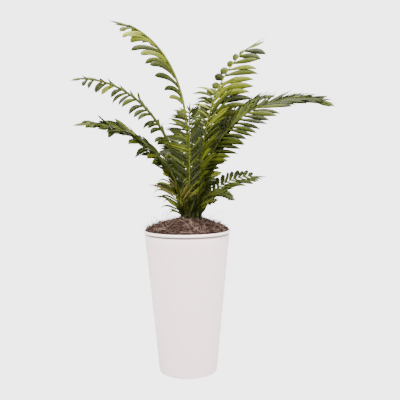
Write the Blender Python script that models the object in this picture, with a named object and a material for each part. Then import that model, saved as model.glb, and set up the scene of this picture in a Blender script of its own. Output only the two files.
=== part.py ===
"""Potted palm: a tall white tapered planter with a rolled rim, filled with bark
mulch, and a clump of arching pinnate fronds rising from a short stem.

Frame: metres, +Z up.  The origin is the centre of the planter's flat underside.
Every frond is a thin blade of its own outline, folded along its rib and split
along its length where it bends.
"""

import math

import bmesh
import bpy
import numpy as np

for old in list(bpy.data.objects):
    bpy.data.objects.remove(old, do_unlink=True)

# ---------------------------------------------------------------- dimensions
# Planter
POT_HEIGHT = 0.650
POT_BASE_RADIUS = 0.1325       # outer wall carried down to the underside
POT_TOP_RADIUS = 0.1943        # outer wall carried up to the rim's top
POT_WALL = 0.0020
POT_FLOOR = 0.0030
POT_FOOT_ROUND = 0.0040        # soft corner under the wall
BEAD_TUBE = 0.0060             # rolled rim, radius of the roll
BEAD_RING = 0.1920             # rolled rim, radius to the middle of the roll
TURN_STEPS = 64

# Mulch
MULCH_GAP = 0.0003             # clearance to the planter all over
MULCH_EDGE_Z = 0.6522          # the heap lies over the inner half of the rolled rim
MULCH_TOP_Z = 0.6990
MULCH_EDGE_RADIUS = 0.1908
MULCH_FLAT = 0.30              # part of the way out that stays level round the stem
MULCH_ROUND = 1.45             # how late the heap falls away
MULCH_RINGS = (0.95, 0.87, 0.76, 0.64, 0.50, 0.34)

# Clump
CROWN_X, CROWN_Y = 0.020, 0.0
FOOT_Z = MULCH_TOP_Z + 0.0005
STEM_HEIGHT = 0.085
STEM_FOOT_RADIUS = 0.0215
STEM_TOP_RADIUS = 0.0125
STALK_RADIUS = 0.0046          # leaf stalk at the foot
TIP_RADIUS = 0.0012            # rib at the frond's end
BLADE_EDGE = 0.0016            # thickness of the blade at its edges
SPLIT_GAP = 0.0006             # between two lengths of one frond
NEIGHBOUR_GAP = 0.0060         # blades keep this far from another frond's half
LOWEST_BLADE_Z = MULCH_TOP_Z + 0.012

# One row per frond:
#   foot ring bearing (deg), foot ring radius (m), heading (deg), lean from the
#   vertical at foot and tip (deg), how late the lean comes (power), length (m),
#   sideways sweep (deg), bare stalk (share of the length), half width (m),
#   rise of the left side at foot and tip, rise of the right side at foot and tip
#   (deg, + up, - hanging), lengths it is split into
FRONDS = {
    "frond_01": (150, 0.031, 152, -4, 83, 2.45, 1.060, 34, 0.10, 0.090, -30, -42, -20, -35, 3),
    "frond_02": (188, 0.033, 188, 4, 99, 1.70, 0.900, 2, 0.10, 0.085, -45, -58, -10, -20, 3),
    "frond_03": (214, 0.040, 214, 6, 99, 1.05, 0.745, -3, 0.08, 0.075, -28, -35, 25, 10, 3),
    "frond_04": (-100, 0.044, -86, 1, 54, 3.90, 0.540, -2, 0.04, 0.095, 10, 45, 10, -10, 2),
    "frond_05": (-44, 0.034, 12, -4, 22, 0.75, 0.610, 43, 0.08, 0.105, 5, 15, 0, 0, 2),
    "frond_06": (44, 0.033, 42, 6, 67, 2.50, 0.960, -42, 0.12, 0.110, 20, 10, -30, -40, 3),
    "frond_07": (-6, 0.040, -10, -3, 115, 1.20, 0.945, -6, 0.08, 0.100, 5, -15, -50, -52, 3),
    "frond_08": (20, 0.044, 24, -4, 81, 1.35, 0.750, -28, 0.10, 0.065, 10, 0, -25, -32, 2),
    "frond_09": (-30, 0.048, -22, -4, 101, 0.70, 0.405, 7, 0.10, 0.070, 55, 40, -38, -45, 2),
    "frond_10": (-56, 0.050, -40, -4, 134, 1.00, 0.280, 10, 0.14, 0.034, 45, 40, -35, -35, 1),
    "frond_11": (-84, 0.054, -52, -2, 86, 0.40, 0.215, 4, 0.08, 0.036, 45, 35, -25, -25, 1),
    "frond_12": (234, 0.054, 228, -3, 48, 0.85, 0.270, 3, 0.06, 0.075, 65, 55, 10, 0, 1),
    "frond_13": (222, 0.056, 200, -4, 46, 1.00, 0.072, 0, 0.12, 0.014, 20, 10, 20, 10, 1),
    "frond_14": (66, 0.044, 68, 2, 92, 1.25, 0.780, 8, 0.10, 0.095, 10, -35, 10, -35, 3),
    "frond_15": (94, 0.034, 95, 1, 66, 1.50, 0.640, -8, 0.08, 0.100, 20, 0, 20, 0, 2),
    "frond_16": (118, 0.044, 103, 4, 100, 1.10, 0.680, -4, 0.10, 0.095, 10, -35, 10, -35, 3),
    "frond_17": (146, 0.052, 122, 3, 74, 1.20, 0.400, -10, 0.08, 0.080, 25, 5, 20, 5, 1),
    "frond_18": (80, 0.056, 76, 12, 104, 0.90, 0.420, 5, 0.08, 0.080, 20, -20, 20, -20, 2),
    "frond_19": (106, 0.058, 105, 16, 104, 0.90, 0.340, -6, 0.08, 0.070, 20, -20, 20, -20, 1),
}
AXIS_STEPS = 60
LENGTH_NAMES = {1: ("blade",), 2: ("lower", "upper"), 3: ("lower", "middle", "upper")}
STATIONS = 8

# ------------------------------------------------------------------ materials
def finish(name, colour, roughness, metallic=0.0):
    material = bpy.data.materials.new(name)
    material.use_nodes = True
    shader = material.node_tree.nodes["Principled BSDF"]
    shader.inputs["Base Color"].default_value = (*colour, 1.0)
    shader.inputs["Roughness"].default_value = roughness
    shader.inputs["Metallic"].default_value = metallic
    material.diffuse_color = (*colour, 1.0)
    return material


WHITE_PAINT = finish("white_paint", (0.78, 0.76, 0.75), 0.35)
BARK_MULCH = finish("bark_mulch", (0.16, 0.10, 0.08), 0.95)
STEM_GREEN = finish("stem_green", (0.10, 0.11, 0.03), 0.6)
LEAF_GREEN = finish("leaf_green", (0.11, 0.12, 0.035), 0.45)


def add_object(name, bm, material, smooth_angle=35.0):
    bmesh.ops.recalc_face_normals(bm, faces=bm.faces)
    mesh = bpy.data.meshes.new(name)
    bm.to_mesh(mesh)
    bm.free()
    mesh.shade_smooth()
    mesh.set_sharp_from_angle(angle=math.radians(smooth_angle))
    mesh.materials.append(material)
    thing = bpy.data.objects.new(name, mesh)
    bpy.context.scene.collection.objects.link(thing)
    return thing


def turned(bm, profile, steps=TURN_STEPS):
    """Rings of vertices turned round Z from (radius, height) pairs, bridged in order."""
    rings = []
    for radius, height in profile:
        rings.append([
            bm.verts.new((radius * math.cos(2 * math.pi * i / steps),
                          radius * math.sin(2 * math.pi * i / steps), height))
            for i in range(steps)
        ])
    for low, high in zip(rings, rings[1:]):
        for i in range(steps):
            j = (i + 1) % steps
            bm.faces.new((low[i], low[j], high[j], high[i]))
    return rings


# --------------------------------------------------------------------- planter
def wall_radius(z):
    """Outer wall of the planter at a height."""
    return POT_BASE_RADIUS + (POT_TOP_RADIUS - POT_BASE_RADIUS) * z / POT_HEIGHT


BEAD_Z = POT_HEIGHT - BEAD_TUBE


def bead_point(angle_deg, extra=0.0):
    a = math.radians(angle_deg)
    return (BEAD_RING + (BEAD_TUBE + extra) * math.cos(a), BEAD_Z + (BEAD_TUBE + extra) * math.sin(a))


def make_pot():
    profile = []
    corner = POT_FOOT_ROUND
    centre_r = wall_radius(corner) - corner
    for step in range(4):
        a = math.radians(-90 + 30 * step)
        profile.append((centre_r + corner * math.cos(a), corner + corner * math.sin(a)))
    outer_start, inner_start = -78.0, 258.0     # where the wall's two faces meet the roll
    profile.append((wall_radius(BEAD_Z - BEAD_TUBE), bead_point(outer_start)[1] - 0.0002))
    roll_steps = 10
    for step in range(1, roll_steps):
        profile.append(bead_point(outer_start + (inner_start - outer_start) * step / roll_steps))
    profile.append((wall_radius(BEAD_Z - BEAD_TUBE) - POT_WALL, bead_point(inner_start)[1] - 0.0002))
    profile.append((wall_radius(POT_FLOOR) - POT_WALL, POT_FLOOR))
    bm = bmesh.new()
    rings = turned(bm, profile)
    bm.faces.new(rings[0])
    bm.faces.new(rings[-1])
    return add_object("pot", bm, WHITE_PAINT)


# ----------------------------------------------------------------------- mulch
def mulch_edge_distance(angle):
    """How far the mulch's edge is from the crown's middle, in a direction."""
    along = CROWN_X * math.cos(angle) + CROWN_Y * math.sin(angle)
    off = CROWN_X ** 2 + CROWN_Y ** 2 - MULCH_EDGE_RADIUS ** 2
    return -along + math.sqrt(along ** 2 - off)


def mulch_height(share, angle):
    """Heaped mulch: level round the stem, then falling to the rim, gently uneven."""
    out = max(0.0, (share - MULCH_FLAT) / (1 - MULCH_FLAT))
    heap = (MULCH_TOP_Z - MULCH_EDGE_Z) * (1 - out ** MULCH_ROUND)
    bumps = 0.0016 * math.sin(3 * angle + 5 * share) + 0.0012 * math.sin(7 * angle - 9 * share + 1.0)
    return MULCH_EDGE_Z + heap + bumps * 4 * out * (1 - out)


def make_mulch():
    bm = bmesh.new()
    inner = lambda z: wall_radius(z) - POT_WALL - MULCH_GAP
    bottom_z = POT_FLOOR + MULCH_GAP
    under_roll = POT_HEIGHT - 0.0142
    profile = [(inner(bottom_z), bottom_z), (inner(under_roll), under_roll)]
    for angle in (246, 219, 191, 163, 135, 112, 95):
        profile.append(bead_point(angle, 0.0005))
    profile.append((MULCH_EDGE_RADIUS, MULCH_EDGE_Z))
    rings = turned(bm, profile)
    bm.faces.new(rings[0])
    last = rings[-1]
    for share in MULCH_RINGS:
        ring = []
        for i in range(TURN_STEPS):
            rim = last[i].co if share == MULCH_RINGS[0] else None
            a_rim = 2 * math.pi * i / TURN_STEPS
            x = MULCH_EDGE_RADIUS * math.cos(a_rim) - CROWN_X
            y = MULCH_EDGE_RADIUS * math.sin(a_rim) - CROWN_Y
            angle = math.atan2(y, x)
            reach = mulch_edge_distance(angle) * share
            ring.append(bm.verts.new((CROWN_X + reach * math.cos(angle),
                                      CROWN_Y + reach * math.sin(angle),
                                      mulch_height(share, angle))))
        for i in range(TURN_STEPS):
            j = (i + 1) % TURN_STEPS
            bm.faces.new((last[i], last[j], ring[j], ring[i]))
        last = ring
    bm.faces.new(last)
    return add_object("mulch", bm, BARK_MULCH, 60.0)


# ------------------------------------------------------------------------ stem
def make_stem():
    bm = bmesh.new()
    sides = 12
    rings = []
    for share, swell in ((0.0, 1.0), (0.12, 0.93), (0.45, 0.98), (0.8, 1.0), (1.0, 0.8)):
        radius = (STEM_FOOT_RADIUS + (STEM_TOP_RADIUS - STEM_FOOT_RADIUS) * share) * swell
        rings.append([
            bm.verts.new((CROWN_X + radius * math.cos(2 * math.pi * i / sides),
                          CROWN_Y + radius * math.sin(2 * math.pi * i / sides),
                          FOOT_Z + STEM_HEIGHT * share))
            for i in range(sides)
        ])
    for low, high in zip(rings, rings[1:]):
        for i in range(sides):
            j = (i + 1) % sides
            bm.faces.new((low[i], low[j], high[j], high[i]))
    bm.faces.new(rings[0])
    bm.faces.new(rings[-1])
    return add_object("stem", bm, STEM_GREEN)


# ---------------------------------------------------------------------- fronds
def frond_axis(row):
    """Points along a frond's rib with the rib's direction, its sideways and its upper side."""
    ring, ring_radius, heading, lean_foot, lean_tip, late, length, sweep = row[:8]
    share = (np.arange(AXIS_STEPS) + 0.5) / AXIS_STEPS
    lean = np.radians(lean_foot + (lean_tip - lean_foot) * share ** late)
    bearing = np.radians(heading + sweep * share ** 1.5)
    steps = np.c_[np.sin(lean) * np.cos(bearing), np.sin(lean) * np.sin(bearing), np.cos(lean)]
    foot = np.array([CROWN_X + ring_radius * math.cos(math.radians(ring)),
                     CROWN_Y + ring_radius * math.sin(math.radians(ring)), FOOT_Z])
    points = np.vstack([foot, foot + np.cumsum(steps, 0) * length / AXIS_STEPS])
    along = np.vstack([steps[:1], (steps[1:] + steps[:-1]) / 2, steps[-1:]])
    along /= np.linalg.norm(along, axis=1)[:, None]
    bearing = np.radians(heading + sweep * np.linspace(0, 1, AXIS_STEPS + 1) ** 1.5)
    side = np.c_[-np.sin(bearing), np.cos(bearing), np.zeros(AXIS_STEPS + 1)]
    side -= (side * along).sum(1)[:, None] * along
    side /= np.linalg.norm(side, axis=1)[:, None]
    return points, along, side, np.cross(along, side)


AXES = {name: frond_axis(row) for name, row in FRONDS.items()}


def at(rows, share):
    """A value between two steps of an axis."""
    place = share * AXIS_STEPS
    low = min(int(place), AXIS_STEPS - 1)
    return rows[low] + (rows[low + 1] - rows[low]) * (place - low)


def outline(share, bare, half_width):
    """Half width of a frond: bare stalk, quick widening, long waist, pointed end."""
    if share <= bare:
        return 0.0
    t = (share - bare) / (1 - bare)
    grow = min(1.0, t / 0.16) ** 0.7
    fade = 1.0 if t < 0.60 else max(0.0, 1 - ((t - 0.60) / 0.40) ** 1.7)
    return half_width * grow * (0.06 + 0.94 * fade)


def room(name, point, reach):
    """True where a point that far from its own rib is clear of every other frond and the stem."""
    if point[2] < LOWEST_BLADE_Z:
        return False
    x, y = point[0] - CROWN_X, point[1] - CROWN_Y
    if point[2] < FOOT_Z + STEM_HEIGHT + 0.01 and math.hypot(x, y) < STEM_FOOT_RADIUS + 0.004:
        return False
    for other, axis in AXES.items():
        if other != name and np.min(np.linalg.norm(axis[0] - point, axis=1)) < reach + NEIGHBOUR_GAP:
            return False
    return True


def side_reach(name, centre, direction, wanted):
    """The widest this side can be before it meets a neighbour."""
    trials = 28
    best = 0.0
    for k in range(1, trials + 1):
        reach = wanted * k / trials
        if not room(name, centre + direction * reach, reach):
            break
        best = reach
    return best


def skin(bm, low, high):
    """Triangles between two sections.  The upper and under side of each half are
    parted along the same diagonal, so the blade stays evenly thick where it twists."""
    def part(i, j, from_first):
        if from_first:
            bm.faces.new((low[i], low[j], high[j]))
            bm.faces.new((low[i], high[j], high[i]))
        else:
            bm.faces.new((low[i], low[j], high[i]))
            bm.faces.new((low[j], high[j], high[i]))

    left = (low[0].co - high[1].co).length < (low[1].co - high[0].co).length
    right = (low[1].co - high[2].co).length < (low[2].co - high[1].co).length
    part(0, 1, left)
    part(4, 5, not left)
    part(1, 2, right)
    part(3, 4, not right)
    part(2, 3, True)
    part(5, 0, True)


def make_frond(name, row):
    points, along, side, up = AXES[name]
    length, bare, half_width, rises, pieces = row[6], row[8], row[9], (row[10:12], row[12:14]), row[14]
    for piece, piece_name in enumerate(LENGTH_NAMES[pieces]):
        first, last = piece / pieces, (piece + 1) / pieces
        if piece > 0:
            first += SPLIT_GAP / 2 / length
        if piece < pieces - 1:
            last -= SPLIT_GAP / 2 / length
        bm = bmesh.new()
        rings = []
        for k in range(STATIONS):
            share = first + (last - first) * k / (STATIONS - 1)
            centre = at(points, share)
            t_dir, s_dir, u_dir = at(along, share), at(side, share), at(up, share)
            if share == 0.0:    # the foot is cut level
                t_dir = np.array([0.0, 0.0, 1.0])
                s_dir = s_dir - s_dir.dot(t_dir) * t_dir
                u_dir = np.cross(t_dir, s_dir)
            s_dir, u_dir = s_dir / np.linalg.norm(s_dir), u_dir / np.linalg.norm(u_dir)
            rib = STALK_RADIUS + (TIP_RADIUS - STALK_RADIUS) * share ** 0.7
            wanted = outline(share, bare, half_width)
            corners = []
            for sign, (rise_foot, rise_tip) in zip((1, -1), rises):
                rise = math.radians(rise_foot + (rise_tip - rise_foot) * share)
                out = sign * s_dir * math.cos(rise) + u_dir * math.sin(rise)
                flat = u_dir * math.cos(rise) - sign * s_dir * math.sin(rise)
                reach = max(rib, side_reach(name, centre, out, wanted) if wanted > rib else 0.0)
                edge = BLADE_EDGE / 2 if reach > rib * 1.5 else min(rib * 0.5, 0.002)
                corners.append((centre + out * reach + flat * edge, centre + out * reach - flat * edge))
            (lt, lb), (rt, rb) = corners
            loop = [lt, centre + u_dir * rib, rt, rb, centre - u_dir * rib, lb]
            rings.append([bm.verts.new(tuple(c)) for c in loop])
        for low, high in zip(rings, rings[1:]):
            skin(bm, low, high)
        bm.faces.new(rings[0])
        bm.faces.new(rings[-1])
        add_object(f"{name}_{piece_name}", bm, LEAF_GREEN, 20.0)


make_pot()
make_mulch()
make_stem()
for frond_name, frond_row in FRONDS.items():
    make_frond(frond_name, frond_row)
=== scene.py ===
"""Looks of the potted palm: ribbed fronds with two rows of leaflets, a bed of
shredded bark and a white painted planter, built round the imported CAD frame."""

import math

import bpy
import numpy as np
from mathutils import Matrix, Vector


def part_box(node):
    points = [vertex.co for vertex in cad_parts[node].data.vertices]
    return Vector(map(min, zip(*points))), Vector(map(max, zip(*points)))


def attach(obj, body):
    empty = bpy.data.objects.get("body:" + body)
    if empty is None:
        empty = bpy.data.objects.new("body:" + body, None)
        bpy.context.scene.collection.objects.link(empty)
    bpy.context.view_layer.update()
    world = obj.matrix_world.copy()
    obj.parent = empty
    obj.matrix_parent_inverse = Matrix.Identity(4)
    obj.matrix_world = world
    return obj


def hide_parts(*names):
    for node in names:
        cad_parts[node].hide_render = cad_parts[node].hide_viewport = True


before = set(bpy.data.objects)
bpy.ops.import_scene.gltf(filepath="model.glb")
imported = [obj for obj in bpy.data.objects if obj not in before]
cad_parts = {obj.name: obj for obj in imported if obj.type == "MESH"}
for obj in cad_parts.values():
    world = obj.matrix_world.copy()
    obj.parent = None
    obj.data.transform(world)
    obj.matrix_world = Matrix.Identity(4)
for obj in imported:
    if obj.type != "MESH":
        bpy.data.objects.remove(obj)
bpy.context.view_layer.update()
NODES = list(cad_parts)
POT_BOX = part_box("pot")
MULCH_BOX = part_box("mulch")
STEM_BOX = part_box("stem")

# ------------------------------------------------------------ shared sizes (m)
POT_HEIGHT = POT_BOX[1][2]
POT_BASE_RADIUS, POT_TOP_RADIUS = 0.1325, 0.1943
POT_WALL, POT_FLOOR, POT_FOOT_ROUND = 0.0020, 0.0030, 0.0040
BEAD_TUBE, BEAD_RING = 0.0060, 0.1920
BEAD_Z = POT_HEIGHT - BEAD_TUBE
NECK_STEPS = (0, 0.04, 0.09, 0.14, 0.19, 0.24, 0.28, 0.60, 1.0)
NECK_LOW, NECK_HIGH, NECK_DEPTH = BEAD_Z - 0.0156, BEAD_Z - 0.0056, 0.0062
NECK_STEPS = [NECK_LOW + (NECK_HIGH - NECK_LOW) * part for part in NECK_STEPS]
MULCH_TOP_Z, MULCH_EDGE_Z, MULCH_EDGE_RADIUS = 0.6990, 0.6522, 0.1908
MULCH_FLAT, MULCH_ROUND = 0.24, 1.16
CROWN_X, CROWN_Y = 0.020, 0.0
FOOT_Z = STEM_BOX[0][2]
STEM_HEIGHT = STEM_BOX[1][2] - STEM_BOX[0][2]
STEM_FOOT_RADIUS, STEM_TOP_RADIUS = 0.0215, 0.0125
STALK_RADIUS, TIP_RADIUS = 0.0050, 0.0020
AXIS_STEPS = 60

# Frond rows as in the CAD: foot ring bearing, foot ring radius, heading, lean at
# foot and tip, lateness of the lean, length, sideways sweep, bare share, half
# width, rise of the left side at foot and tip, rise of the right side at foot
# and tip, lengths it is split into.
FRONDS = {
    "frond_01": (150, 0.031, 152, -4, 83, 2.45, 1.060, 34, 0.10, 0.090, -30, -42, -20, -35, 3),
    "frond_02": (188, 0.033, 188, 4, 99, 1.70, 0.900, 2, 0.10, 0.085, -45, -58, 34, 24, 3),
    "frond_03": (214, 0.040, 214, 6, 99, 1.05, 0.745, -3, 0.08, 0.075, -28, -35, 25, 10, 3),
    "frond_04": (-100, 0.044, -86, 1, 54, 3.90, 0.540, -2, 0.04, 0.095, 10, 45, 10, -10, 2),
    "frond_05": (-44, 0.034, 12, -4, 22, 0.75, 0.610, 43, 0.08, 0.105, 5, 15, 0, 0, 2),
    "frond_06": (44, 0.033, 42, 6, 67, 2.50, 0.960, -42, 0.12, 0.110, 26, 18, -30, -40, 3),
    "frond_07": (-6, 0.040, -10, -3, 115, 1.20, 0.945, -6, 0.08, 0.100, 46, 34, -50, -52, 3),
    "frond_08": (20, 0.044, 24, -4, 81, 1.35, 0.750, -28, 0.10, 0.065, 25, 10, -42, -48, 2),
    "frond_09": (-30, 0.048, -22, -4, 101, 0.70, 0.405, 7, 0.10, 0.070, 55, 40, -45, -50, 2),
    "frond_10": (-56, 0.050, -40, -4, 134, 1.00, 0.280, 10, 0.14, 0.036, 50, 50, -40, -40, 1),
    "frond_11": (-84, 0.054, -52, -2, 86, 0.40, 0.215, 4, 0.08, 0.036, 50, 40, -30, -30, 1),
    "frond_12": (234, 0.054, 228, -3, 48, 0.85, 0.270, 3, 0.06, 0.075, 65, 55, 10, 0, 1),
    "frond_13": (222, 0.056, 200, -4, 46, 1.00, 0.072, 0, 0.12, 0.014, 20, 10, 20, 10, 1),
    "frond_14": (66, 0.044, 68, 2, 92, 1.25, 0.780, 8, 0.10, 0.095, 10, -35, 10, -35, 3),
    "frond_15": (94, 0.034, 95, 1, 66, 1.50, 0.640, -8, 0.08, 0.100, 20, 0, 20, 0, 2),
    "frond_16": (118, 0.044, 103, 4, 100, 1.10, 0.680, -4, 0.10, 0.095, 10, -35, 10, -35, 3),
    "frond_17": (146, 0.052, 122, 3, 74, 1.20, 0.400, -10, 0.08, 0.080, 25, 5, 20, 5, 1),
    "frond_18": (80, 0.056, 76, 12, 104, 0.90, 0.420, 5, 0.08, 0.080, 20, -20, 20, -20, 2),
    "frond_19": (106, 0.058, 105, 16, 104, 0.90, 0.340, -6, 0.08, 0.070, 20, -20, 20, -20, 1),
}

# How each frond's leaflets grow: pairs, longest of the left and of the right row
# (m), widest (m), sweep of the left row from the rib at foot and tip (deg), the
# same for the right row, droop, hook of the end, opening (how far a leaflet turns
# out from the rib along its length), bluntness of the end, scatter, first leaflet
# (share), where the leaflets are longest (share of the leafy part), how far they
# shrink at the tip, tints at the foot and at the tip (shares of LEAF_TINTS),
# thickness of the rib. A value given twice is the left row's and the right row's.
# Tint mixes: DARKEST_PAINTED_SHADE and DEEP_PAINTED_SHADE paint shade on low fronds and fronds inside the crown, the
# half-lit and sunlit mixes paint light on the top fronds' tips; MIDDLE lies between, BROWN is the brown fronds' own
# colour.
DARKEST_PAINTED_SHADE, DEEP_PAINTED_SHADE, MIDDLE, HALF_LIT_PAINTED, SUNLIT_PAINTED, BROWN = (
    (0.80, 0.20, 0.00, 0.00, 0.00, 0.00), (0.50, 0.32, 0.18, 0.00, 0.00, 0.00), (0.28, 0.34, 0.28, 0.10, 0.00, 0.00),
    (0.06, 0.24, 0.36, 0.28, 0.06, 0.00), (0.00, 0.08, 0.27, 0.42, 0.23, 0.00),
    (0.05, 0.10, 0.20, 0.20, 0.10, 0.35))
LEAFLETS = {
    "frond_01": (11, 0.160, 0.090, (0.0260, 0.0200), 46, 46, 22, 20, (0.10, 0.3), (0.20, 0.0), 1.25, (0.9, 0.3), 0.8, 0.48, 0.30, 0.50, HALF_LIT_PAINTED, SUNLIT_PAINTED, 2.1),
    "frond_02": (22, 0.090, 0.084, (0.0200, 0.0210), 66, 56, 16, 11, (0.35, 0.1), (0.30, 0.0), 0.70, (0.3, 0.3), 1.6, 0.22, 0.55, 0.50, DEEP_PAINTED_SHADE, MIDDLE, 2.5),
    "frond_03": (30, 0.126, 0.126, (0.0260, 0.0260), 36, 26, 32, 20, (0.10, 0.0), (0.50, 0.1), 0.30, 0.2, 2.8, 0.12, 0.30, 0.62, DEEP_PAINTED_SHADE, DEEP_PAINTED_SHADE, 1.5),
    "frond_04": (28, 0.112, 0.128, 0.0122, 46, 50, 48, 74, 0.00, 0.10, 0.15, 0.1, 0.8, 0.02, 0.35, 0.40, MIDDLE, MIDDLE, 0.7),
    "frond_05": (29, 0.122, 0.155, (0.0135, 0.0160), 58, 68, 58, 48, (0.05, 0.05), (0.25, 0.10), (0.80, 0.35), 0.1, 0.9, 0.03, 0.35, 0.12, MIDDLE, HALF_LIT_PAINTED, 0.65),
    "frond_06": (19, 0.066, 0.190, (0.0350, 0.0300), 84, 84, 60, 62, (0.0, 0.08), (0.0, 0.24), (0.1, 0.45), (1.0, 0.1), 0.7, 0.12, 0.55, 0.40, (DEEP_PAINTED_SHADE, DEEP_PAINTED_SHADE), (MIDDLE, SUNLIT_PAINTED), 1.6),
    "frond_07": (29, 0.125, 0.150, (0.0260, 0.0220), 24, 8, 64, 15, (0.0, 0.08), 0.12, 0.20, 0.1, 0.8, 0.20, 0.25, 0.35, DEEP_PAINTED_SHADE, DEEP_PAINTED_SHADE, 1.0),
    "frond_08": (19, 0.130, 0.140, 0.0220, 32, 14, 38, 18, 0.05, 0.10, 0.10, 0.1, 0.8, 0.10, 0.30, 0.40, DEEP_PAINTED_SHADE, DEEP_PAINTED_SHADE, 1.0),
    "frond_09": (13, 0.060, 0.112, (0.0260, 0.0140), 80, 68, 42, 34, 0.02, 0.05, 0.10, (1.0, 0.1), 0.5, 0.14, 0.12, 0.60, (DARKEST_PAINTED_SHADE, DEEP_PAINTED_SHADE), (DARKEST_PAINTED_SHADE, DEEP_PAINTED_SHADE), 0.9),
    "frond_10": (10, 0.058, 0.050, 0.0270, 30, 14, 30, 14, 0.02, 0.00, 0.10, 0.1, 0.3, 0.26, 0.10, 0.55, DARKEST_PAINTED_SHADE, DEEP_PAINTED_SHADE, 0.8),
    "frond_11": (8, 0.052, 0.046, 0.0250, 30, 14, 30, 14, 0.02, 0.00, 0.10, 0.1, 0.3, 0.20, 0.10, 0.50, DARKEST_PAINTED_SHADE, DEEP_PAINTED_SHADE, 0.8),
    "frond_12": (16, 0.090, 0.200, 0.0105, 46, 40, 64, 58, 0.05, 1.30, 0.10, 0.1, 1.4, 0.03, 0.45, 0.40, BROWN, BROWN, 0.9),
    "frond_13": (3, 0.056, 0.056, 0.0190, 22, 12, 22, 12, 0.05, 0.10, 0.10, 0.1, 0.8, 0.05, 0.40, 0.50, DEEP_PAINTED_SHADE, MIDDLE, 0.8),
    "frond_14": (20, 0.135, 0.135, 0.0200, 54, 40, 54, 40, 0.20, 0.20, 0.40, 0.3, 1.0, 0.14, 0.40, 0.50, DEEP_PAINTED_SHADE, DEEP_PAINTED_SHADE, 1.1),
    "frond_15": (22, 0.128, 0.128, 0.0170, 50, 50, 50, 50, 0.05, 0.15, 0.30, 0.2, 0.9, 0.08, 0.40, 0.50, DEEP_PAINTED_SHADE, DEEP_PAINTED_SHADE, 1.0),
    "frond_16": (17, 0.128, 0.128, 0.0200, 54, 40, 54, 40, 0.20, 0.20, 0.40, 0.3, 1.0, 0.26, 0.30, 0.50, DEEP_PAINTED_SHADE, DEEP_PAINTED_SHADE, 1.1),
    "frond_17": (12, 0.110, 0.110, 0.0170, 50, 42, 50, 42, 0.10, 0.15, 0.30, 0.2, 1.0, 0.32, 0.30, 0.50, DEEP_PAINTED_SHADE, DEEP_PAINTED_SHADE, 1.0),
    "frond_18": (15, 0.118, 0.118, 0.0170, 54, 42, 54, 42, 0.15, 0.15, 0.30, 0.2, 1.0, 0.10, 0.40, 0.50, DEEP_PAINTED_SHADE, DEEP_PAINTED_SHADE, 1.0),
    "frond_19": (11, 0.100, 0.100, 0.0170, 54, 42, 54, 42, 0.15, 0.15, 0.30, 0.2, 1.0, 0.26, 0.30, 0.50, DEEP_PAINTED_SHADE, DEEP_PAINTED_SHADE, 1.0),
}

# Fronds whose leaflets keep their length nearly to the end of the rib: the share
# of the rib where the last ones part. SHADED fronds get darker ribs:
# painted shade for fronds that sit in shade.
SHADED = ("frond_02", "frond_03", "frond_07", "frond_08", "frond_09", "frond_10", "frond_11")
LEAFY_TO = {"frond_05": 0.97, "frond_04": 0.90, "frond_10": 0.88, "frond_11": 0.86}


# ------------------------------------------------------------------- mesh help
class Heap:
    """Vertices and faces of many small things, gathered into one mesh."""

    def __init__(self):
        self.verts, self.faces, self.mats, self.uvs, self.count = [], [], [], [], 0

    def grid(self, points, closed_round, uv=None, mat=0, cap=False):
        """points: (rows, cols, 3); faces between rows; closed_round joins the last column to the first."""
        rows, cols = points.shape[:2]
        base = self.count
        self.verts.append(points.reshape(-1, 3))
        r = np.arange(rows - 1)[:, None]
        c = np.arange(cols if closed_round else cols - 1)[None, :]
        n = (c + 1) % cols
        quads = np.stack([r * cols + c, r * cols + n, (r + 1) * cols + n, (r + 1) * cols + c], -1).reshape(-1, 4) + base
        self.faces.extend(map(tuple, quads.tolist()))
        total = len(quads)
        if cap:
            self.faces.append(tuple(range(base + cols - 1, base - 1, -1)))
            self.faces.append(tuple(range(base + (rows - 1) * cols, base + rows * cols)))
            total += 2
        self.mats.extend([mat] * total)
        self.uvs.append(np.zeros((rows * cols, 2)) if uv is None else uv.reshape(-1, 2))
        self.count += rows * cols

    def piece(self, name, materials, smooth=True, body="root", sharp=None):
        mesh = bpy.data.meshes.new(name)
        mesh.from_pydata(np.concatenate(self.verts), [], self.faces)
        for material in materials:
            mesh.materials.append(material)
        mesh.polygons.foreach_set("material_index", np.array(self.mats, np.int32))
        if smooth:
            mesh.polygons.foreach_set("use_smooth", np.ones(len(self.faces), bool))
        uv = np.concatenate(self.uvs)
        layer = mesh.uv_layers.new(name="surface")
        loops = np.empty(len(mesh.loops), np.int32)
        mesh.loops.foreach_get("vertex_index", loops)
        layer.data.foreach_set("uv", uv[loops].astype(np.float32).reshape(-1))
        if sharp is not None:
            mesh.set_sharp_from_angle(angle=math.radians(sharp))
        mesh.validate()
        mesh.update()
        thing = bpy.data.objects.new(name, mesh)
        bpy.context.scene.collection.objects.link(thing)
        if body:
            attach(thing, body)
        return thing


def unit(v):
    return v / np.maximum(np.linalg.norm(v, axis=-1, keepdims=True), 1e-9)


# -------------------------------------------------------------------- materials
def linear(r, g, b):
    def one(v):
        v /= 255.0
        return v / 12.92 if v <= 0.04045 else ((v + 0.055) / 1.055) ** 2.4
    return (one(r), one(g), one(b), 1.0)


class Nodes:
    def __init__(self, name):
        self.material = bpy.data.materials.new(name)
        self.material.use_nodes = True
        self.tree = self.material.node_tree
        self.shader = self.tree.nodes["Principled BSDF"]

    def node(self, kind, **values):
        made = self.tree.nodes.new(kind)
        for key, value in values.items():
            if key in made.inputs:
                made.inputs[key].default_value = value
            else:
                setattr(made, key, value)
        return made

    def link(self, a, b):
        self.tree.links.new(a, b)

    def ramp(self, fac, stops):
        made = self.node("ShaderNodeValToRGB")
        ramp = made.color_ramp
        while len(ramp.elements) < len(stops):
            ramp.elements.new(0.5)
        for element, (place, colour) in zip(ramp.elements, stops):
            element.position, element.color = place, colour
        self.link(fac, made.inputs["Fac"])
        return made.outputs["Color"]


def scaled(colour, k):
    return (min(colour[0] * k, 1), min(colour[1] * k, 1), min(colour[2] * k, 1), 1.0)


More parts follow.
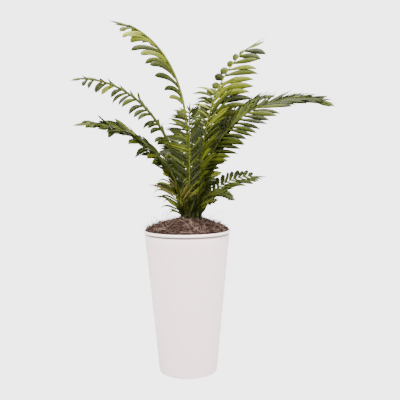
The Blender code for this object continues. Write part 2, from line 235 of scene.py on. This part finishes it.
def leaf_material(name, colour, rough=0.42):
    m = Nodes(name)
    uv = m.node("ShaderNodeUVMap", uv_map="surface")
    where = m.node("ShaderNodeTexCoord")
    blotch = m.node("ShaderNodeTexNoise", Scale=38.0, Detail=3.0, Roughness=0.55)
    m.link(where.outputs["Object"], blotch.inputs["Vector"])
    colours = m.ramp(blotch.outputs["Fac"], [(0.30, scaled(colour, 0.80)), (0.72, scaled(colour, 1.18))])
    m.link(colours, m.shader.inputs["Base Color"])
    split = m.node("ShaderNodeSeparateXYZ")
    m.link(uv.outputs["UV"], split.inputs["Vector"])
    veins = m.node("ShaderNodeMath", operation="MULTIPLY")
    veins.inputs[1].default_value = 2 * math.pi * 9
    m.link(split.outputs["X"], veins.inputs[0])
    wave = m.node("ShaderNodeMath", operation="SINE")
    m.link(veins.outputs[0], wave.inputs[0])
    fine = m.node("ShaderNodeTexNoise", Scale=260.0, Detail=2.0)
    m.link(where.outputs["Object"], fine.inputs["Vector"])
    both = m.node("ShaderNodeMath", operation="MULTIPLY_ADD")
    both.inputs[1].default_value = 0.6
    m.link(wave.outputs[0], both.inputs[0])
    m.link(fine.outputs["Fac"], both.inputs[2])
    bump = m.node("ShaderNodeBump", Strength=0.35, Distance=0.0004)
    m.link(both.outputs[0], bump.inputs["Height"])
    m.link(bump.outputs["Normal"], m.shader.inputs["Normal"])
    gloss = m.node("ShaderNodeMapRange")
    gloss.inputs["To Min"].default_value = rough - 0.07
    gloss.inputs["To Max"].default_value = rough + 0.10
    m.link(blotch.outputs["Fac"], gloss.inputs["Value"])
    m.link(gloss.outputs["Result"], m.shader.inputs["Roughness"])
    m.shader.inputs["Specular IOR Level"].default_value = 0.09
    return m.material


def rib_material(name, colour, dark, rough=0.45):
    m = Nodes(name)
    where = m.node("ShaderNodeTexCoord")
    streak = m.node("ShaderNodeTexNoise", Scale=60.0, Detail=4.0, Roughness=0.6)
    m.link(where.outputs["Object"], streak.inputs["Vector"])
    m.link(m.ramp(streak.outputs["Fac"], [(0.25, dark), (0.62, colour), (0.9, scaled(colour, 1.25))]),
           m.shader.inputs["Base Color"])
    bump = m.node("ShaderNodeBump", Strength=0.3, Distance=0.0005)
    m.link(streak.outputs["Fac"], bump.inputs["Height"])
    m.link(bump.outputs["Normal"], m.shader.inputs["Normal"])
    gloss = m.node("ShaderNodeMapRange")
    gloss.inputs["To Min"].default_value = rough - 0.08
    gloss.inputs["To Max"].default_value = rough + 0.15
    m.link(streak.outputs["Fac"], gloss.inputs["Value"])
    m.link(gloss.outputs["Result"], m.shader.inputs["Roughness"])
    m.shader.inputs["Specular IOR Level"].default_value = 0.09
    return m.material


def bark_material(name, colour, dark, pale):
    m = Nodes(name)
    where = m.node("ShaderNodeTexCoord")
    patch = m.node("ShaderNodeTexNoise", Scale=95.0, Detail=6.0, Roughness=0.7)
    m.link(where.outputs["Object"], patch.inputs["Vector"])
    m.link(m.ramp(patch.outputs["Fac"], [(0.30, dark), (0.52, colour), (0.78, pale)]), m.shader.inputs["Base Color"])
    grain = m.node("ShaderNodeTexNoise", Scale=420.0, Detail=4.0, Roughness=0.65)
    m.link(where.outputs["Object"], grain.inputs["Vector"])
    bump = m.node("ShaderNodeBump", Strength=0.7, Distance=0.0012)
    m.link(grain.outputs["Fac"], bump.inputs["Height"])
    m.link(bump.outputs["Normal"], m.shader.inputs["Normal"])
    rough = m.node("ShaderNodeMapRange")
    rough.inputs["To Min"].default_value = 0.75
    rough.inputs["To Max"].default_value = 0.95
    m.link(patch.outputs["Fac"], rough.inputs["Value"])
    m.link(rough.outputs["Result"], m.shader.inputs["Roughness"])
    m.shader.inputs["Specular IOR Level"].default_value = 0.08
    return m.material


def paint_material(name, low, high):
    m = Nodes(name)
    where = m.node("ShaderNodeTexCoord")
    cloud = m.node("ShaderNodeTexNoise", Scale=5.0, Detail=3.0, Roughness=0.5)
    m.link(where.outputs["Object"], cloud.inputs["Vector"])
    m.link(m.ramp(cloud.outputs["Fac"], [(0.3, low), (0.7, high)]),
           m.shader.inputs["Base Color"])
    peel = m.node("ShaderNodeTexNoise", Scale=520.0, Detail=2.0, Roughness=0.5)
    m.link(where.outputs["Object"], peel.inputs["Vector"])
    bump = m.node("ShaderNodeBump", Strength=0.12, Distance=0.0003)
    m.link(peel.outputs["Fac"], bump.inputs["Height"])
    m.link(bump.outputs["Normal"], m.shader.inputs["Normal"])
    gloss = m.node("ShaderNodeMapRange")
    gloss.inputs["To Min"].default_value = 0.36
    gloss.inputs["To Max"].default_value = 0.46
    m.link(cloud.outputs["Fac"], gloss.inputs["Value"])
    m.link(gloss.outputs["Result"], m.shader.inputs["Roughness"])
    m.shader.inputs["Coat Weight"].default_value = 0.15
    m.shader.inputs["Coat Roughness"].default_value = 0.25
    return m.material


# Leaflet colours: deep and dark sit far below the leaf's own green, painted shade; bright and pale stand for painted
# highlights; green and brown are the leaflets' own colours.
LEAF_TINTS = [
    leaf_material("leaf_deep_painted_shade", (0.009, 0.012, 0.0010, 1)),
    leaf_material("leaf_dark_painted_shade", (0.017, 0.022, 0.0016, 1)),
    leaf_material("leaf_green", (0.035, 0.043, 0.0028, 1)),
    leaf_material("leaf_bright_painted_light", (0.078, 0.090, 0.0056, 1)),
    leaf_material("leaf_pale_painted_highlight", (0.150, 0.160, 0.0180, 1)),
    leaf_material("leaf_brown", (0.085, 0.066, 0.0140, 1)),
]
RIB = rib_material("rib_green", (0.080, 0.092, 0.007, 1), (0.026, 0.031, 0.003, 1))
VEIN = rib_material("vein_green", (0.085, 0.098, 0.008, 1), (0.035, 0.042, 0.004, 1))
# darker copy of the rib colour for fronds in shade: painted shade
SHADED_RIB = rib_material("rib_shaded", (0.038, 0.045, 0.004, 1), (0.016, 0.019, 0.002, 1))
# very dark sheath colour for the stalks' feet and the stem core: painted shade at the crown's foot
SHEATH_PAINTED_SHADE = rib_material("stem_sheath", (0.018, 0.019, 0.003, 1), (0.008, 0.008, 0.002, 1), 0.55)
BED = bark_material("bark_bed", (0.019, 0.010, 0.007, 1), (0.005, 0.003, 0.003, 1), (0.037, 0.024, 0.019, 1))
CHIP_TINTS = [
    bark_material("bark_dark", (0.016, 0.008, 0.006, 1), (0.006, 0.003, 0.003, 1), (0.031, 0.019, 0.015, 1)),
    bark_material("bark_red", (0.037, 0.019, 0.015, 1), (0.016, 0.008, 0.006, 1), (0.065, 0.038, 0.031, 1)),
    bark_material("bark_tan", (0.080, 0.050, 0.040, 1), (0.038, 0.022, 0.017, 1), (0.140, 0.098, 0.083, 1)),
]
FIBRE_TINTS = [
    bark_material("fibre_straw", (0.150, 0.098, 0.074, 1), (0.070, 0.043, 0.032, 1), (0.240, 0.175, 0.140, 1)),
    bark_material("fibre_brown", (0.034, 0.017, 0.012, 1), (0.014, 0.007, 0.005, 1), (0.065, 0.038, 0.028, 1)),
]
PAINT = paint_material("satin_white_paint", (0.735, 0.560, 0.560, 1), (0.775, 0.595, 0.595, 1))
# darker grey-brown on the neck under the rim: painted shade for the rim's shadow line
RECESS_PAINTED_SHADE = paint_material("recess_painted_shade", (0.140, 0.112, 0.108, 1), (0.165, 0.132, 0.128, 1))


# ----------------------------------------------------------------------- fronds
def frond_axis(row):
    """Points along a frond's rib with its direction, sideways and upper side, as in the CAD."""
    ring, ring_radius, heading, lean_foot, lean_tip, late, length, sweep = row[:8]
    share = (np.arange(AXIS_STEPS) + 0.5) / AXIS_STEPS
    lean = np.radians(lean_foot + (lean_tip - lean_foot) * share ** late)
    bearing = np.radians(heading + sweep * share ** 1.5)
    steps = np.c_[np.sin(lean) * np.cos(bearing), np.sin(lean) * np.sin(bearing), np.cos(lean)]
    foot = np.array([CROWN_X + ring_radius * math.cos(math.radians(ring)),
                     CROWN_Y + ring_radius * math.sin(math.radians(ring)), FOOT_Z])
    points = np.vstack([foot, foot + np.cumsum(steps, 0) * length / AXIS_STEPS])
    along = unit(np.vstack([steps[:1], (steps[1:] + steps[:-1]) / 2, steps[-1:]]))
    bearing = np.radians(heading + sweep * np.linspace(0, 1, AXIS_STEPS + 1) ** 1.5)
    side = np.c_[-np.sin(bearing), np.cos(bearing), np.zeros(AXIS_STEPS + 1)]
    side = unit(side - (side * along).sum(1)[:, None] * along)
    return points, along, side, np.cross(along, side)


def at(rows, share):
    place = np.clip(share, 0, 1) * AXIS_STEPS
    low = np.minimum(place.astype(int), AXIS_STEPS - 1)
    return rows[low] + (rows[low + 1] - rows[low]) * (place - low)[:, None]


LEAF_ROWS = 12
ACROSS = np.array([-1.0, -0.55, 0.0, 0.55, 1.0])


def leaf_shape(t, blunt):
    """Width of a leaflet along its length, 1 at its widest."""
    widest = 0.50 + 0.14 * blunt
    foot = 0.36 + 0.24 * blunt
    rise = foot + (1 - foot) * np.sin(np.clip(t / widest, 0, 1) * math.pi / 2) ** 1.2
    fall = 1 - np.clip((t - widest) / (1 - widest), 0, 1) ** (1.7 + 1.9 * blunt)
    return np.maximum(rise * fall, 0.014)


def add_leaflet(leaves, veins, base, rib_dir, side, up, sign, length, width, sweep, rise, droop, hook, opening, blunt,
                turn, crease, mat, flutter):
    t = np.linspace(0, 1, LEAF_ROWS)
    out = sign * side * math.cos(rise) + up * math.sin(rise)
    turned = sweep + opening * (t - 0.35)
    way = np.cos(turned)[:, None] * rib_dir + np.sin(turned)[:, None] * out
    way = unit(way + (droop * t ** 1.5 + hook * t ** 4)[:, None] * np.array([0.0, 0.0, -1.0]))
    path = np.vstack([base, base + np.cumsum((way[1:] + way[:-1]) / 2, 0) * length / (LEAF_ROWS - 1)])
    flat = unit(rib_dir[None] - (way @ rib_dir)[:, None] * way)
    normal = sign * np.cross(flat, way)
    roll = turn[0] + turn[1] * t
    across = flat * np.cos(roll)[:, None] + normal * np.sin(roll)[:, None]
    normal = normal * np.cos(roll)[:, None] - flat * np.sin(roll)[:, None]
    half = leaf_shape(t, blunt) * width / 2
    thick = 0.00035
    ripple = flutter * np.sin(7.0 * t + 2.0 * flutter) * half
    lift = -crease * np.abs(ACROSS)[None] * half[:, None] + ripple[:, None] * ACROSS[None]
    middle = path[:, None] + across[:, None] * (half[:, None] * ACROSS[None])[..., None] + normal[:, None] * lift[..., None]
    bulge = (thick * (1 - ACROSS ** 2))[None, :, None] * normal[:, None]
    top = middle + bulge
    under = (middle - bulge)[:, 3:0:-1]
    shell = np.concatenate([top, under], axis=1)
    u = np.concatenate([ACROSS, ACROSS[3:0:-1]]) * 0.5 + 0.5
    uv = np.stack(np.broadcast_arrays(u[None], t[:, None]), -1)
    leaves.grid(shell, True, uv, mat, cap=True)
    # the midrib, a thin raised line on the upper side
    fade = 1 - t * 0.92
    w = (0.0009 * fade + 0.0002)[:, None]
    h = (0.0006 * fade + 0.0001)[:, None]
    mid = path + normal * (thick * 0.6)
    veins.grid(np.stack([mid - across * w, mid + normal * h, mid + across * w, mid - normal * 0.0001], 1)[:-1], True, None, 1, cap=True)


def make_frond(number, name):
    row, leaf = FRONDS[name], LEAFLETS[name]
    points, along, side, up = frond_axis(row)
    length, rises = row[6], {1: row[10:12], -1: row[12:14]}
    pairs, long_left, long_right, widest, lsf, lst, rsf, rst, droop, hook, opening, blunt, scatter, first, peak, shrink, tints_foot, tints_tip, stout = leaf
    sweeps, longs, longest = {1: (lsf, lst), -1: (rsf, rst)}, {1: long_left, -1: long_right}, max(long_left, long_right)
    widths, blunts, droops, hooks, openings = (
        {1: v[0], -1: v[1]} if isinstance(v, tuple) else {1: v, -1: v} for v in (widest, blunt, droop, hook, opening))
    tints_foot, tints_tip = (
        {1: np.array(v[0]), -1: np.array(v[1])} if isinstance(v[0], tuple) else {1: np.array(v), -1: np.array(v)}
        for v in (tints_foot, tints_tip))
    rng = np.random.RandomState(100 + number)
    leaves, ribs = Heap(), Heap()
    end = max(1 - 0.62 * longest / length if pairs > 6 else 1 - 0.85 * longest / length, LEAFY_TO.get(name, 0))

    # rib: oval stalk with a groove on its upper side, down to where the last leaflets part
    share = np.linspace(0, min(end + 0.01, 1.0), 56)
    centre, t_dir, s_dir, u_dir = at(points, share), unit(at(along, share)), unit(at(side, share)), unit(at(up, share))
    radius = STALK_RADIUS + (TIP_RADIUS - STALK_RADIUS) * (share / share[-1]) ** 0.75
    radius = radius * (1 + (stout - 1) * np.minimum(1, share * length / 0.08)) * (1 + 0.9 * np.exp(-share * length / 0.030))
    angles = np.arange(12) * 2 * math.pi / 12
    wide, tall = np.cos(angles), np.sin(angles)
    tall = np.where(tall > 0.8, tall * 0.72, tall * 0.9)
    ring = centre[:, None] + radius[:, None, None] * (wide[None, :, None] * s_dir[:, None] + tall[None, :, None] * u_dir[:, None])
    ring[0, :, 2] -= 0.006          # the stalk's foot goes into the bark
    uv = np.stack(np.broadcast_arrays((angles / 6.2832)[None], share[:, None]), -1)
    # the stalk's lowest 0.105 m takes the dark sheath colour, painted shade at the crown's foot
    sheath = 2 + int(np.searchsorted(share * length, 0.105))
    ribs.grid(ring[:sheath], True, uv[:sheath], 2, cap=True)
    # SHADED fronds take the darker rib colour, painted shade
    ribs.grid(ring[sheath - 1:], True, uv[sheath - 1:], 3 if name in SHADED else 0, cap=True)

    for sign in (1, -1):
        rise_foot, rise_tip = rises[sign]
        sweep_foot, sweep_tip = sweeps[sign]
        places = first + (end - first) * (np.arange(pairs) + (0.3 if sign > 0 else 0.6)) / pairs
        places = np.clip(places + rng.uniform(-0.20, 0.20, pairs) * scatter * (end - first) / pairs, 0, end)
        b, td, sd, ud = at(points, places), unit(at(along, places)), unit(at(side, places)), unit(at(up, places))
        for k in range(pairs):
            g = float(np.clip((places[k] - first) / (end - first), 0, 1))
            size = min(1.0, 0.50 + 0.50 * g / peak) * (1 - shrink * max(0.0, (g - 0.60) / 0.40) ** 1.3)
            size *= rng.uniform(0.92, 1.06)
            rise = math.radians(rise_foot + (rise_tip - rise_foot) * places[k] + rng.normal(0, 6 * scatter))
            ease = min(1.0, max(0.0, (g - 0.36) / 0.40))
            ease = ease * ease * (3 - 2 * ease)
            sweep = math.radians(sweep_foot + (sweep_tip - sweep_foot) * ease + rng.normal(0, 3.5 * scatter))
            # tint mix from foot to tip: painted shade where the frond sits in shade, painted light where it is lit;
            # each leaflet's tint drawn at random from it
            tints = tints_foot[sign] + (tints_tip[sign] - tints_foot[sign]) * g
            mat = rng.choice(len(tints), p=tints / tints.sum())
            rad = (STALK_RADIUS + (TIP_RADIUS - STALK_RADIUS) * places[k] ** 0.75) * stout
            start = b[k] + (sign * sd[k] * math.cos(rise) + ud[k] * math.sin(rise)) * rad * 0.7
            add_leaflet(leaves, ribs, start, td[k], sd[k], ud[k], sign, longs[sign] * size,
                        widths[sign] * (0.70 + 0.30 * size) * rng.uniform(0.88, 1.12), sweep, rise,
                        droops[sign] * rng.uniform(0.4, 1.6), hooks[sign] * rng.uniform(0.3, 1.6),
                        openings[sign] * rng.uniform(0.7, 1.3), blunts[sign],
                        (math.radians(rng.normal(8, 8 * scatter)), math.radians(rng.normal(0, 18 * scatter))),
                        0.34, mat, rng.normal(0, 0.16))
    # small dark leaflets hugging the stalk's foot
    for sign in (1, -1):
        for k in range(3):
            place = np.array([(0.016 + 0.020 * k + rng.uniform(0, 0.012)) / length])
            b, td, sd, ud = at(points, place)[0], unit(at(along, place))[0], unit(at(side, place))[0], unit(at(up, place))[0]
            add_leaflet(leaves, ribs, b, td, sd, ud, sign, rng.uniform(0.050, 0.075), rng.uniform(0.011, 0.015),
                        math.radians(rng.uniform(14, 26)), math.radians(rng.uniform(-75, 10)), 0.0, 0.10, 0.10, 0.1,
                        (0.1, 0.0), 0.34, int(rng.randint(1, 4)) if k else 1, 0.0)
    # the last pair, nearly in line with the rib
    tip = np.array([end])
    b, td, sd, ud = at(points, tip)[0], unit(at(along, tip))[0], unit(at(side, tip))[0], unit(at(up, tip))[0]
    far = points[-1] - b
    aim = unit(far)
    for sign, part in ((1, 1.0), (-1, 0.80)):
        add_leaflet(leaves, ribs, b, aim, sd, ud, sign, np.linalg.norm(far) * part, widths[sign] * 0.55,
                    math.radians(5 if part == 1.0 else 14), math.radians(rises[sign][1]), 0.03, 0.0, 0.0, 0.0,
                    (math.radians(5), 0.0), 0.25, rng.choice(len(tints_tip[sign]), p=tints_tip[sign] / tints_tip[sign].sum()), 0.0)

    cad = [n for n in NODES if n.startswith(name + "_")]
    leafy = leaves.piece(name + "_leaflets", LEAF_TINTS)
    ribby = ribs.piece(name + "_ribs", [RIB, VEIN, SHEATH_PAINTED_SHADE, SHADED_RIB])
    for piece in (leafy, ribby):
        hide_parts(*cad)


for number, name in enumerate(FRONDS):
    make_frond(number, name)


# ------------------------------------------------------------------------- stem
def make_stem():
    """Short core of overlapping leaf sheaths with raised edges."""
    heap = Heap()
    sides, rows = 48, 40
    a = np.arange(sides) * 2 * math.pi / sides
    s = np.linspace(0, 1, rows)
    radius = STEM_FOOT_RADIUS + (STEM_TOP_RADIUS - STEM_FOOT_RADIUS) * s
    spiral = (s[:, None] * 5.0 + a[None] / (2 * math.pi)) % 1.0
    relief = 0.0016 * (1 - spiral) ** 2 - 0.0008 * np.abs(np.sin(9 * a))[None]
    r = radius[:, None] * np.array(0.95) + relief
    r[-1] *= 0.55
    ring = np.stack([CROWN_X + r * np.cos(a), CROWN_Y + r * np.sin(a), np.repeat((FOOT_Z - 0.004 + (STEM_HEIGHT + 0.004) * s)[:, None], sides, 1)], -1)
    heap.grid(ring, True, None, 0, cap=True)
    # the stem core takes the dark sheath colour, painted shade under the crown
    piece = heap.piece("stem_sheaths", [SHEATH_PAINTED_SHADE])
    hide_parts("stem")


make_stem()


# ------------------------------------------------------------------------ mulch
def wall_radius(z):
    return POT_BASE_RADIUS + (POT_TOP_RADIUS - POT_BASE_RADIUS) * z / POT_HEIGHT


def neck_radius(z):
    """Outer wall with the shallow neck under the rolled rim."""
    part = min(1.0, max(0.0, (z - NECK_LOW) / (0.28 * (NECK_HIGH - NECK_LOW))))
    return wall_radius(z) - NECK_DEPTH * part * part * (3 - 2 * part)


def edge_distance(angle):
    along = CROWN_X * np.cos(angle) + CROWN_Y * np.sin(angle)
    return -along + np.sqrt(along ** 2 - (CROWN_X ** 2 + CROWN_Y ** 2 - MULCH_EDGE_RADIUS ** 2))


def heap_height(x, y):
    angle = np.arctan2(y - CROWN_Y, x - CROWN_X)
    part = np.hypot(x - CROWN_X, y - CROWN_Y) / edge_distance(angle)
    out = np.clip((part - MULCH_FLAT) / (1 - MULCH_FLAT), 0, 1)
    bumps = 0.0016 * np.sin(3 * angle + 5 * part) + 0.0012 * np.sin(7 * angle - 9 * part + 1.0)
    return MULCH_EDGE_Z + (MULCH_TOP_Z - MULCH_EDGE_Z) * (1 - out ** MULCH_ROUND) + bumps * 4 * out * (1 - out)


def lumps(x, y, seed, cell):
    """Smooth seeded noise on a square lattice, -1 to 1."""
    grid = np.random.RandomState(seed).uniform(-1, 1, (64, 64))
    gx, gy = (x / cell + 32), (y / cell + 32)
    ix, iy = np.floor(gx).astype(int) % 64, np.floor(gy).astype(int) % 64
    fx, fy = gx - np.floor(gx), gy - np.floor(gy)
    fx, fy = fx * fx * (3 - 2 * fx), fy * fy * (3 - 2 * fy)
    jx, jy = (ix + 1) % 64, (iy + 1) % 64
    return ((grid[ix, iy] * (1 - fx) + grid[jx, iy] * fx) * (1 - fy) + (grid[ix, jy] * (1 - fx) + grid[jx, jy] * fx) * fy)


def bed_height(x, y):
    calm = np.clip((MULCH_EDGE_RADIUS - np.hypot(x, y)) / 0.012, 0, 1)
    return heap_height(x, y) + calm * (0.0020 * lumps(x, y, 5, 0.011) + 0.0012 * lumps(x, y, 6, 0.0055)) - 0.0012


def make_bed():
    heap = Heap()
    turns, rings = 256, 72
    a = np.arange(turns) * 2 * math.pi / turns
    inner = lambda z: wall_radius(z) - POT_WALL - 0.0004
    profile = [(inner(0.0034), 0.0034), (inner(0.30), 0.30), (inner(NECK_LOW), NECK_LOW)]
    profile += [(neck_radius(z) - POT_WALL - 0.0004, z) for z in np.linspace(NECK_LOW, NECK_HIGH, 5)[1:]]
    for angle in np.linspace(215, 95, 12):
        t = math.radians(angle)
        profile.append((BEAD_RING + (BEAD_TUBE + 0.0006) * math.cos(t), BEAD_Z + (BEAD_TUBE + 0.0006) * math.sin(t)))
    rows = [np.stack([r * np.cos(a), r * np.sin(a), np.full(turns, z)], -1) for r, z in profile]
    for k in range(rings):
        r = MULCH_EDGE_RADIUS * (1 - k / rings) - 0.0002
        x, y = r * np.cos(a), r * np.sin(a)
        rows.append(np.stack([x, y, bed_height(x, y)], -1))
    heap.grid(np.array(rows), True, None, 0, cap=True)
    piece = heap.piece("mulch_bed", [BED])
    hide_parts("mulch")
    return piece


def surface_normal(x, y):
    e = 0.002
    dx = (bed_height(x + e, y) - bed_height(x - e, y)) / (2 * e)
    dy = (bed_height(x, y + e) - bed_height(x, y - e)) / (2 * e)
    return unit(np.stack([-dx, -dy, np.ones_like(dx)], -1))


def strew(name, count, seed, sizes, tints, shares, sides, stations, tilt, lift, bend, limit=0.1890):
    """Closed bent shreds lying on the heap: sizes are (length, width, thickness) ranges."""
    rng = np.random.RandomState(seed)
    heap = Heap()
    angle = rng.uniform(0, 2 * math.pi, count)
    radius = (MULCH_EDGE_RADIUS - 0.002) * np.sqrt(rng.uniform(0, 1, count))
    x, y = radius * np.cos(angle), radius * np.sin(angle)
    z = bed_height(x, y)
    normal = surface_normal(x, y)
    t = np.linspace(-1, 1, stations)
    for k in range(count):
        length = rng.uniform(*sizes[0]) * (0.6 + 0.8 * rng.uniform() ** 2)
        width, thick = rng.uniform(*sizes[1]), rng.uniform(*sizes[2])
        heading = rng.uniform(0, 2 * math.pi)
        n = normal[k]
        d = np.array([math.cos(heading), math.sin(heading), 0.0])
        d = unit(d - d.dot(n) * n)
        pitch = rng.normal(0, tilt)
        d, n = d * math.cos(pitch) + n * math.sin(pitch), n * math.cos(pitch) - d * math.sin(pitch)
        s = np.cross(n, d)
        roll = rng.normal(0, 0.5)
        s, n = s * math.cos(roll) + n * math.sin(roll), n * math.cos(roll) - s * math.sin(roll)
        curve_s, curve_n = rng.normal(0, bend), rng.normal(0, bend * 0.5)
        centre = np.array([x[k], y[k], z[k] + rng.uniform(*lift) + 0.35 * abs(math.sin(pitch)) * length / 2])
        mid = centre + (t[:, None] * length / 2) * d + (curve_s * length * (t ** 2 - 0.4))[:, None] * s + (curve_n * length * (t ** 2 - 0.4))[:, None] * n
        taper = 0.35 + 0.65 * np.sqrt(np.clip(1 - (t * 0.96) ** 2, 0, 1)) + rng.uniform(-0.15, 0.15, stations)
        a = np.arange(sides) * 2 * math.pi / sides + 0.4
        ring = mid[:, None] + (taper[:, None] * (width / 2) * np.cos(a)[None])[..., None] * s + (taper[:, None] * (thick / 2) * np.sin(a)[None])[..., None] * n
        # keep every shred inside the rim, unless it stands clear above it
        reach = np.hypot(ring[..., 0], ring[..., 1]).max()
        if reach > limit:
            shift = reach - limit
            ring[..., 0] -= shift * math.cos(angle[k])
            ring[..., 1] -= shift * math.sin(angle[k])
            ring[..., 2] += max(0.0, float(bed_height(np.array([mid[len(mid) // 2, 0]]), np.array([mid[len(mid) // 2, 1]]))[0]) - mid[len(mid) // 2, 2]) * 0.5
        # the few that lie over the rim rest on top of it
        over = ring[np.hypot(ring[..., 0], ring[..., 1]) > 0.1885]
        if limit > 0.1890 and len(over):
            ring[..., 2] += max(0.0, POT_HEIGHT + 0.0008 - over[:, 2].min())
        heap.grid(ring, True, None, int(rng.choice(len(tints), p=shares)), cap=True)
    piece = heap.piece(name, tints, smooth=False)
    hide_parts("mulch")
    return piece


make_bed()
strew("bark_shreds", 3000, 21, ((0.014, 0.038), (0.0022, 0.0046), (0.0012, 0.0028)), CHIP_TINTS, (0.44, 0.32, 0.24), 5, 6, 0.22, (0.0, 0.0035), 0.12)
strew("bark_chips", 900, 22, ((0.006, 0.015), (0.0035, 0.0085), (0.0015, 0.0040)), CHIP_TINTS, (0.50, 0.38, 0.12), 6, 4, 0.25, (0.0, 0.0015), 0.05)
strew("bark_fibres", 1100, 23, ((0.030, 0.066), (0.0014, 0.0030), (0.0010, 0.0018)), FIBRE_TINTS, (0.42, 0.58), 4, 8, 0.22, (0.0015, 0.0045), 0.18)
strew("loose_straws", 130, 24, ((0.040, 0.080), (0.0014, 0.0024), (0.0010, 0.0016)), FIBRE_TINTS, (0.35, 0.65), 4, 9, 0.50, (0.0010, 0.0040), 0.20, 0.2000)
strew("stray_straws", 46, 25, ((0.060, 0.105), (0.0014, 0.0022), (0.0010, 0.0016)), FIBRE_TINTS, (0.30, 0.70), 4, 11, 0.85, (0.0015, 0.0060), 0.28, 0.2060)


# -------------------------------------------------------------------------- pot
def make_pot():
    heap = Heap()
    turns = 224
    a = np.arange(turns) * 2 * math.pi / turns
    profile = []
    centre_r = wall_radius(POT_FOOT_ROUND) - POT_FOOT_ROUND
    for step in range(9):
        t = math.radians(-90 + 90 * step / 8)
        profile.append((centre_r + POT_FOOT_ROUND * math.cos(t), POT_FOOT_ROUND + POT_FOOT_ROUND * math.sin(t)))
    for z in np.linspace(0.02, NECK_LOW, 22):
        profile.append((wall_radius(z), z))
    for z in NECK_STEPS[1:]:
        profile.append((neck_radius(z), z))
    for angle in np.linspace(-104, 234, 30):
        t = math.radians(angle)
        profile.append((BEAD_RING + BEAD_TUBE * math.cos(t), BEAD_Z + BEAD_TUBE * math.sin(t)))
    for z in NECK_STEPS[::-1]:
        profile.append((neck_radius(z) - POT_WALL, z))
    for z in np.linspace(0.60, POT_FLOOR, 8):
        profile.append((wall_radius(z) - POT_WALL, z))
    rows = np.array([np.stack([r * np.cos(a), r * np.sin(a), np.full(turns, z)], -1) for r, z in profile])
    heap.grid(rows, True, None, 0, cap=True)
    # the neck rows under the bead take the darker material, painted shade under the rim
    for k, ((_, low), (_, high)) in enumerate(zip(profile, profile[1:])):
        if k < 60 and low >= NECK_STEPS[4] - 1e-6 and high <= BEAD_Z - BEAD_TUBE * 0.90 and high >= low:
            heap.mats[k * turns:(k + 1) * turns] = [1] * turns
    piece = heap.piece("planter", [PAINT, RECESS_PAINTED_SHADE], sharp=50)
    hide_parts("pot")
    return piece


make_pot()


# ------------------------------------------------------------------ stage, light
def plain(name, colour, rough):
    m = Nodes(name)
    m.shader.inputs["Base Color"].default_value = colour
    m.shader.inputs["Roughness"].default_value = rough
    return m.material


def stage_material():
    """Seamless studio white; it lights the plant far less than it shows."""
    m = Nodes("studio_white")
    m.shader.inputs["Base Color"].default_value = (0.50, 0.50, 0.50, 1)
    m.shader.inputs["Roughness"].default_value = 0.9
    glow = m.node("ShaderNodeEmission", Strength=4.2)
    mix = m.node("ShaderNodeMixShader")
    path = m.node("ShaderNodeLightPath")
    m.link(path.outputs["Is Camera Ray"], mix.inputs[0])
    m.link(m.shader.outputs[0], mix.inputs[1])
    m.link(glow.outputs[0], mix.inputs[2])
    output = next(n for n in m.tree.nodes if n.type == "OUTPUT_MATERIAL")
    m.link(mix.outputs[0], output.inputs["Surface"])
    return m.material


def make_stage():
    heap = Heap()
    turns = 96
    a = np.arange(turns) * 2 * math.pi / turns
    profile = [(0.002, 0.0)] + [(r, 0.0) for r in (0.5, 1.5, 3.0, 5.0)]
    for step in range(1, 13):
        t = math.radians(-90 + 90 * step / 12)
        profile.append((5.0 + 2.5 * math.cos(t), 2.5 + 2.5 * math.sin(t)))
    profile.append((7.5, 6.0))
    rows = np.array([np.stack([r * np.cos(a), r * np.sin(a), np.full(turns, z)], -1) for r, z in profile])
    heap.grid(rows, True)
    floor = heap.piece("studio_floor", [stage_material()], body=None)


def lamp(name, place, target, size, power, colour=(1, 1, 1)):
    light = bpy.data.lights.new(name, "AREA")
    light.shape, light.size, light.size_y, light.energy, light.color = "RECTANGLE", size[0], size[1], power, colour
    thing = bpy.data.objects.new(name, light)
    thing.location = place
    thing.rotation_euler = (Vector(target) - Vector(place)).to_track_quat("-Z", "Y").to_euler()
    bpy.context.scene.collection.objects.link(thing)


make_stage()
world = bpy.data.worlds.new("studio")
world.use_nodes = True
world.node_tree.nodes["Background"].inputs["Color"].default_value = (1, 1, 1, 1)
world.node_tree.nodes["Background"].inputs["Strength"].default_value = 0.40
bpy.context.scene.world = world
lamp("key", (-1.9, -2.8, 3.4), (0, 0, 0.9), (2.0, 2.0), 540)
lamp("fill", (2.6, -2.5, 2.4), (0, 0, 0.7), (2.2, 2.2), 330)
lamp("top", (0.1, 0.2, 4.4), (0, 0, 0.8), (2.8, 2.8), 640)
lamp("back", (0.5, 3.2, 2.8), (0, 0, 1.0), (2.4, 1.6), 90)
lamp("left", (-3.4, -0.3, 1.3), (0, 0, 0.6), (1.2, 2.2), 60)
lamp("right", (3.4, -0.3, 1.3), (0, 0, 0.6), (1.2, 2.2), 70)

camera = bpy.data.cameras.new("camera")
camera.lens, camera.sensor_width, camera.sensor_fit = 596.0 * 36 / 400, 36.0, "HORIZONTAL"
eye = bpy.data.objects.new("camera", camera)
eye.matrix_world = (Matrix.Translation((0.0595, -2.6988, 0.9930)) @ Matrix.Rotation(math.radians(90 - 4.4227), 4, "X")
                    @ Matrix.Rotation(math.radians(-0.4258), 4, "Z"))
bpy.context.scene.collection.objects.link(eye)
bpy.context.scene.camera = eye
